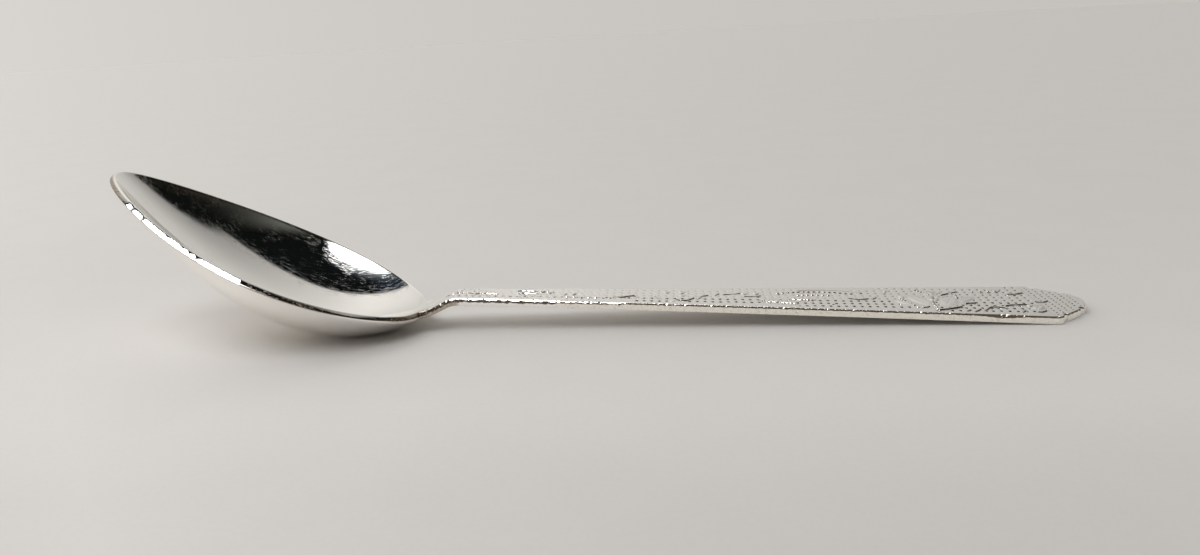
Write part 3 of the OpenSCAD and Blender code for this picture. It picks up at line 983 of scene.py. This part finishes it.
class Shader:
    """Adds nodes to one tree."""

    def __init__(self, owner):
        owner.use_nodes = True
        self.tree = owner.node_tree
        self.tree.nodes.clear()

    def node(self, kind, settings=None, output=0, **values):
        """A node of a type, with its settings first, then the values or links of its sockets.

        A socket is called by its name, with _ for a space, or by i and its number.
        """
        node = self.tree.nodes.new(kind)
        for name, setting in (settings or {}).items():
            setattr(node, name, setting)
        for name, value in values.items():
            numbered = name[0] == "i" and name[1:].isdigit()
            feed(self.tree, node.inputs[int(name[1:]) if numbered else name.replace("_", " ")], value)
        return Value(self.tree, node.outputs[output]) if len(node.outputs) else None

    def parts(self, vector):
        """The three parts of a vector."""
        return [self.node("ShaderNodeSeparateXYZ", output=k, Vector=vector) for k in range(3)]

    def noise(self, vector, scale, detail=2.0, roughness=0.5):
        return self.node("ShaderNodeTexNoise", Vector=vector, Scale=scale, Detail=detail, Roughness=roughness)

    def step(self, value, low, high):
        """0 under low, 1 over high and a smooth step between."""
        smooth = {"interpolation_type": "SMOOTHSTEP"}
        return self.node("ShaderNodeMapRange", smooth, i0=value, i1=low, i2=high, i3=0.0, i4=1.0)

    def fall(self, value, low, high):
        """1 under low, 0 over high and a smooth step between."""
        return 1.0 - self.step(value, low, high)

    def scale(self, vector, factor):
        return self.node("ShaderNodeVectorMath", {"operation": "SCALE"}, i0=vector, i3=factor)

    def mix(self, factor, first, second):
        """Mix of two colours, each a wrapped socket or three numbers."""
        first, second = (c if isinstance(c, Value) else (*c, 1.0) for c in (first, second))
        return self.node("ShaderNodeMix", {"data_type": "RGBA"}, 2, i0=factor, i6=first, i7=second)


# Fine scratches: angle in degrees and waves to a metre
SCRATCHES = [(4, 14000.0), (-27, 16000.0), (63, 14500.0), (21, 13000.0)]


def scratches(s, coordinates, angle, waves):
    """Fine straight scratches at one angle: the crests of a noise stretched far along them."""
    turned = s.node(
        "ShaderNodeMapping",
        {"vector_type": "POINT"},
        Vector=coordinates,
        Rotation=(0.0, 0.0, math.radians(angle)),
        Scale=(waves * 0.04, waves, waves * 0.1),
    )
    return s.step(s.noise(turned, 1.0, 0.0), 0.7, 0.76)


def silver_material():
    """Polished silver: mirror-like metal with fine scratches in many directions, wear and dark hollows."""
    name = "polished_silver"
    if name in bpy.data.materials:
        return bpy.data.materials[name]
    look = bpy.context.scene.teaspoon_silver
    material = bpy.data.materials.new(name)
    s = Shader(material)
    coordinates = s.node("ShaderNodeTexCoord", output=3)
    # The tarnish share also holds a painted dark reflection on the outside of the tip
    hollow = s.node("ShaderNodeAttribute", {"attribute_name": "tarnish"}, 2)
    brink = s.node("ShaderNodeAttribute", {"attribute_name": "wear"}, 2)
    # Scratches and specks come in patches
    scratched = scratches(s, coordinates, *SCRATCHES[0])
    for angle, waves in SCRATCHES[1:]:
        scratched = scratched.math("MAXIMUM", scratches(s, coordinates, angle, waves))
    patches = s.step(s.noise(coordinates, 420.0, 3.0, 0.6), 0.4, 0.62)
    specks = s.step(s.noise(coordinates, 5200.0, 2.0, 0.7), 0.66, 0.74) * patches
    scratched = (scratched * (0.35 + patches * 0.65)).math("MAXIMUM", specks)
    grit = s.step(s.noise(coordinates, 2600.0, 4.0, 0.7), 0.5, 0.66)
    rough = look.roughness + scratched * (look.worn - look.roughness)
    rough = rough + hollow * (0.08 + grit * 0.3) + brink * (0.03 + grit * 0.14)
    # Tarnish, worn grit and the painted dark reflection darken the base colour
    tarnish_wear_and_painted_dark = hollow.math("MAXIMUM", brink * grit * 0.35)
    base = s.mix(brink * 0.8, look.bright, look.edge)
    base = s.mix(tarnish_wear_and_painted_dark * 0.8, base, look.tarnish)
    # The metal is a little uneven, on a wide scale and on a fine one
    slow = s.noise(coordinates, 260.0, 1.0, 0.4)
    fine = s.noise(coordinates, 9000.0, 2.0, 0.6)
    bump = s.node("ShaderNodeBump", Strength=1.0, Distance=0.000014, Height=slow)
    height = fine * 0.25 + scratched * 0.6 + brink * grit * 0.8
    bump = s.node("ShaderNodeBump", Strength=1.0, Distance=0.000003, Height=height, Normal=bump)
    rough = rough.math("MINIMUM", 0.6)
    surface = s.node("ShaderNodeBsdfPrincipled", Base_Color=base, Metallic=1.0, Roughness=rough, Normal=bump)
    s.node("ShaderNodeOutputMaterial", Surface=surface)
    return material


def painted_floor_light(ratio):
    """Painted light of the floor over the ratio of sideways to ahead: painted brighter on the left, darker on
    the right.
    """
    ratio = ratio.math("MINIMUM", 0.6).math("MAXIMUM", -0.8) + 0.0875
    return 1.0 - ratio * 0.165 + ratio * ratio * 0.11


def floor_material():
    """A pale matt board with faint clouds, and light painted into its colour: lighter on the left, darker on
    the right, and a painted band of light across the front.
    """
    look = bpy.context.scene.teaspoon_stage
    material = bpy.data.materials.new("pale_floor")
    s = Shader(material)
    coordinates = s.node("ShaderNodeTexCoord", output=3)
    clouds = s.noise(coordinates, 60.0, 3.0, 0.6)
    grain = s.noise(coordinates, 1400.0, 3.0, 0.65)
    x, y, _ = s.parts(coordinates)
    place = look.camera_at
    ahead = (y - place[1]).math("MAXIMUM", 0.05)
    # A painted band of light lies across the front of the board
    near = (y + 0.035) / 0.035
    painted_light_band = 1.0 / (1.0 + near * near)
    # Painted light from the fan, less a painted darker patch on the left, in front
    tone = painted_floor_light((x - place[0]) / ahead) - s.step(-x, 0.03, 0.09) * s.fall(y, 0.02, 0.12) * 0.035
    # All this painted light, and a painted darker band nearer the camera, fades out behind the camera
    tone = 1.0 + (tone - 1.0 - s.step(-y, 0.025, 0.05) * 0.07) * s.step(y, -0.4, -0.11) + painted_light_band * 0.08
    tone = tone * (1.0 + (clouds - 0.5) * 0.05 + (grain - 0.5) * 0.06)
    colour = s.scale(look.floor, tone)
    surface = s.node("ShaderNodeBsdfPrincipled", Base_Color=colour, Roughness=0.75, Specular_IOR_Level=0.2)
    s.node("ShaderNodeOutputMaterial", Surface=surface)
    return material


def add_floor():
    """A disc, a ring of rows from the middle out, that marks the floor."""
    look = bpy.context.scene.teaspoon_stage
    sides = 96
    rings = np.array([0.3, 1.0]) * look.floor_radius
    turn = 2 * math.pi * np.arange(sides) / sides
    places = [(0.0, 0.0, 0.0)]
    places += [(r * math.cos(a), r * math.sin(a), 0.0) for r in rings for a in turn]
    pairs = [(k, (k + 1) % sides) for k in range(sides)]
    faces = [(0, 1 + a, 1 + b) for a, b in pairs]
    faces += [(1 + a, 1 + sides + a, 1 + sides + b, 1 + b) for a, b in pairs]
    mesh = bpy.data.meshes.new("floor")
    mesh.from_pydata(places, [], faces)
    mesh.materials.append(floor_material())
    floor = bpy.data.objects.new("floor", mesh)
    bpy.context.scene.collection.objects.link(floor)


def add_room():
    """The room as a world: a pale half behind the spoon, a dark half before it and a window high in front."""
    look = bpy.context.scene.teaspoon_stage
    world = bpy.data.worlds.new("room")
    bpy.context.scene.world = world
    s = Shader(world)
    x, y, z = s.parts(s.node("ShaderNodeTexCoord", output=0))
    dark = s.step(-y, -0.03, 0.03).math("MAXIMUM", s.step(x, 0.60, 0.66))
    # The pale half is brighter on the left and overhead, and duller low on the left and straight ahead
    right = x.math("MAXIMUM", 0.0)
    level = (1.0 - x * 0.57).math("MINIMUM", 1.17) - right * right * 0.53
    level = level * (1.0 + s.step(z, 0.5, 0.95) * s.step(-x, -0.1, 0.2) * 0.07)
    level = level * (1.0 - s.step(-x, 0.1, 0.5) * s.fall(z, 0.35, 0.95) * 0.2)
    ahead = s.step(x, -0.4, 0.0) * s.fall(x, 0.15, 0.4) * s.fall(z, 0.22, 0.45)
    pale = s.scale(look.sky, level * (1.0 - ahead * 0.13))
    # In the dark half: dim green on the right, blue on the left, brown low down, grey beside the window
    beside = s.step(x, 0.04, 0.12) * s.fall(x, 0.2, 0.78) * s.step(z, 0.56, 0.66) * s.fall(z, 0.70, 0.77)
    shade = look.dark
    for share, colour in (
        (s.step(x, 0.1, 0.35) * s.fall(z, 0.74, 0.88), (0.0035, 0.0045, 0.004)),
        (s.step(-x, 0.25, 0.45) * s.fall(z, 0.86, 0.95), (0.012, 0.017, 0.030)),
        (s.fall(z, 0.58, 0.68), (0.085, 0.066, 0.048)),
        (beside * s.step(-y, 0.0, 0.7), (0.22, 0.225, 0.20)),
    ):
        shade = s.mix(share, shade, colour)
    room = s.mix(dark, pale, shade)
    # The window has a slanted lower side, and a dim fringe round it
    reach = -0.53 - x * 0.38 - y
    fringe = s.step(x, -0.85, -0.5) * s.fall(x, 0.04, 0.12) * s.step(z, 0.66, 0.74)
    room = s.mix(fringe * s.step(reach, -0.16, 0.02), room, (0.13, 0.15, 0.165))
    window = s.step(x, -0.62, -0.42) * s.fall(x, 0.06, 0.10) * s.step(z, 0.705, 0.735)
    window = window * s.step(reach, -0.02, 0.02)
    room = s.mix(window, room, (look.window, look.window, look.window * 1.02))
    # What lights a matt surface: pale on all sides, more from behind and most from the left
    behind, left = y.math("MAXIMUM", 0.0), (-x).math("MAXIMUM", 0.0)
    soft = look.ambient + behind * look.from_behind + left * look.from_left
    soft = s.node("ShaderNodeCombineColor", i0=soft * 1.05, i1=soft, i2=soft * 0.92)
    # Seen straight on, the room goes on as the floor does, with the floor's painted light and in the tint
    # that the lamps give it
    lit_floor = [part * lit for part, lit in zip(look.floor, (1.042, 1.028, 1.008))]
    tone = 1.0 + (painted_floor_light(x / y.math("MAXIMUM", 0.05)) - 1.0) * s.step(y, 0.0, 0.5)
    matt, mirrored, shown = (
        s.node("ShaderNodeBackground", Color=colour, Strength=1.0)
        for colour in (soft, room, s.scale(lit_floor, tone))
    )
    both = matt
    for ray, seen in (("Is Glossy Ray", mirrored), ("Is Camera Ray", shown)):
        ray = s.node("ShaderNodeLightPath", output=ray)
        both = s.node("ShaderNodeMixShader", i0=ray, i1=both, i2=seen)
    s.node("ShaderNodeOutputWorld", Surface=both)


def add_lamp(name, strength, about_x, about_y):
    """A soft lamp overhead, turned about both level axes, that mirror-like metal doesn't show."""
    look = bpy.context.scene.teaspoon_stage
    lamp = bpy.data.lights.new(name, "SUN")
    lamp.energy = strength
    lamp.angle = look.lamp_spread
    lamp.color = LAMP_TINT
    holder = bpy.data.objects.new(name, lamp)
    holder.visible_glossy = False
    holder.rotation_euler = (about_x, about_y, 0.0)
    bpy.context.scene.collection.objects.link(holder)


def add_camera():
    """A camera from its place, turn, tilt and roll, with the focal length given in pixels."""
    look = bpy.context.scene.teaspoon_stage
    yaw, pitch, roll = look.yaw, look.pitch, look.roll
    ahead = np.array([math.sin(yaw) * math.cos(pitch), math.cos(yaw) * math.cos(pitch), -math.sin(pitch)])
    level = np.array([math.cos(yaw), -math.sin(yaw), 0.0])
    upright = np.cross(level, ahead)
    right = level * math.cos(roll) + upright * math.sin(roll)
    up = upright * math.cos(roll) - level * math.sin(roll)
    turn = Matrix(np.stack([right, up, -ahead], -1).tolist()).to_4x4()
    data = bpy.data.cameras.new("camera")
    data.sensor_width = SENSOR_WIDTH_MM
    data.lens = look.focal / IMAGE_WIDTH * SENSOR_WIDTH_MM
    data.clip_start = 0.001
    camera = bpy.data.objects.new("camera", data)
    camera.matrix_world = Matrix.Translation(Vector(look.camera_at)) @ turn
    bpy.context.scene.collection.objects.link(camera)
    bpy.context.scene.camera = camera


class TEASPOON_OT_bowl(Operator):
    """Add the skin of the bowl, rows around it from heel to heel"""

    bl_idname = "teaspoon.bowl"
    bl_label = "Bowl"

    def execute(self, context):
        form = SpoonForm(context.scene)
        rows = bowl_rows(form, context.scene.teaspoon_steps.bowl_rows)
        add_piece(form, "bowl_skin", ["bowl"], [rows], False)
        return {"FINISHED"}


class TEASPOON_OT_neck(Operator):
    """Add the skin of the cranked neck"""

    bl_idname = "teaspoon.neck"
    bl_label = "Neck"

    def execute(self, context):
        form = SpoonForm(context.scene)
        count = context.scene.teaspoon_steps.neck_rows
        add_straight(form, "neck_skin", ["neck"], form.crank_start, form.crank_end, count)
        return {"FINISHED"}


# Which raised ornament each length of the stem's skin stands for
STEM_NODES = [["leaves", "vine"], ["leaves", "vine", "berries"], ["leaves", "vine"], ["flower", "leaves"]]


class TEASPOON_OT_stem(Operator):
    """Add the skin of the stem in four lengths, with the pressed pattern"""

    bl_idname = "teaspoon.stem"
    bl_label = "Stem"

    def execute(self, context):
        form = SpoonForm(context.scene)
        count = context.scene.teaspoon_steps.stem_rows
        places = np.linspace(form.crank_end, form.shoulder_x, len(STEM_NODES) + 1)
        for k, nodes in enumerate(STEM_NODES):
            name = "stem_skin_" + str(k + 1)
            add_straight(form, name, ["stem"] + nodes, places[k], places[k + 1], count)
        return {"FINISHED"}


class TEASPOON_OT_handle_end(Operator):
    """Add the skin of the handle's end, rows around its scalloped outline"""

    bl_idname = "teaspoon.handle_end"
    bl_label = "Handle end"

    def execute(self, context):
        form = SpoonForm(context.scene)
        rows = end_rows(form, context.scene.teaspoon_steps.end_rows)
        add_piece(form, "handle_end_skin", ["handle_end"], [rows])
        return {"FINISHED"}


class TEASPOON_OT_stage(Operator):
    """Add the floor, the room, the lamps and the camera"""

    bl_idname = "teaspoon.stage"
    bl_label = "Stage"

    def execute(self, context):
        add_camera()
        add_floor()
        add_room()
        look = context.scene.teaspoon_stage
        add_lamp("front_lamp", look.front_lamp, look.lamp_tilt, 0.0)
        add_lamp("left_lamp", look.left_lamp, 0.0, -look.lamp_tilt)
        context.scene.view_settings.view_transform = "Standard"
        return {"FINISHED"}


class TEASPOON_PT_panel(Panel):
    """Lists what the teaspoon is built from"""

    bl_idname = "TEASPOON_PT_panel"
    bl_label = "Teaspoon"
    bl_space_type = "VIEW_3D"
    bl_region_type = "UI"
    bl_category = "Teaspoon"

    def draw(self, context):
        for step in STEPS:
            self.layout.operator(step.bl_idname)
        for name in GROUPS:
            group = getattr(context.scene, name)
            box = self.layout.box()
            for key in group.__annotations__:
                box.prop(group, key)


GROUPS = {
    "teaspoon_bowl": BowlSizes,
    "teaspoon_neck": NeckSizes,
    "teaspoon_handle": HandleSizes,
    "teaspoon_ornament": OrnamentSizes,
    "teaspoon_steps": SkinSteps,
    "teaspoon_silver": SilverLook,
    "teaspoon_stage": StageLook,
}
STEPS = [TEASPOON_OT_stage, TEASPOON_OT_bowl, TEASPOON_OT_neck, TEASPOON_OT_stem, TEASPOON_OT_handle_end]


def register():
    for name, group in GROUPS.items():
        bpy.utils.register_class(group)
        setattr(bpy.types.Scene, name, PointerProperty(type=group))
    for step in STEPS:
        bpy.utils.register_class(step)
    bpy.utils.register_class(TEASPOON_PT_panel)


def unregister():
    bpy.utils.unregister_class(TEASPOON_PT_panel)
    for step in reversed(STEPS):
        bpy.utils.unregister_class(step)
    for name, group in reversed(list(GROUPS.items())):
        delattr(bpy.types.Scene, name)
        bpy.utils.unregister_class(group)


def main():
    register()
    for step in STEPS:
        area, action = step.bl_idname.split(".")
        getattr(getattr(bpy.ops, area), action)()


if __name__ == "__main__":
    main()
